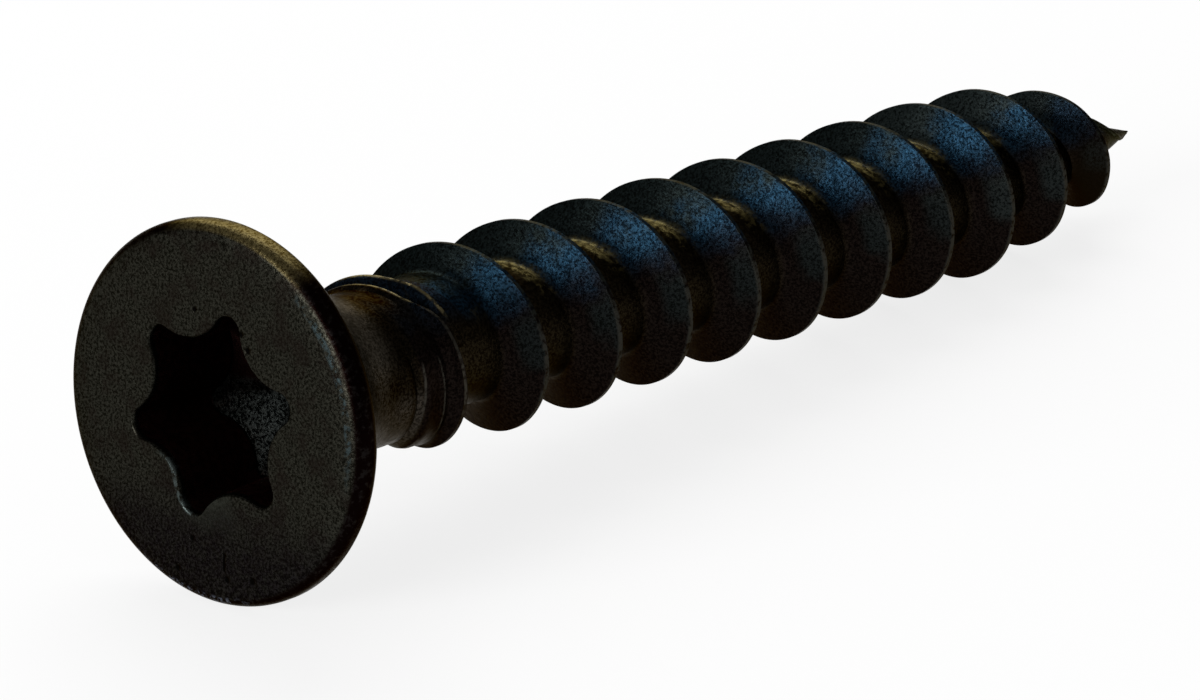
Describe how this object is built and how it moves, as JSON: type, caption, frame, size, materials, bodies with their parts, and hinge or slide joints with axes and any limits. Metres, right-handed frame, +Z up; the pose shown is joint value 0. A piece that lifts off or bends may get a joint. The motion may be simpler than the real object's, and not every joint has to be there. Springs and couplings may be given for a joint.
{
  "type": "drywall screw",
  "caption": "Countersunk drywall screw with a six-lobe recess, a coarse right-hand thread and a sharp gimlet point, lying at rest on its side.",
  "frame": {"origin": "centre of the bounding box, on the surface that the lying screw touches", "axes": "+X from the head to the point along the lying screw, +Z up; the screw's own axis lies in the XZ plane and leans 4.11 degrees down towards the point"},
  "size_m": [0.0342, 0.0082, 0.0082],
  "materials": {
    "black_coating": "satin"
  },
  "bodies": {
    "root": {"screw": "black_coating"}
  },
  "joints": []
}
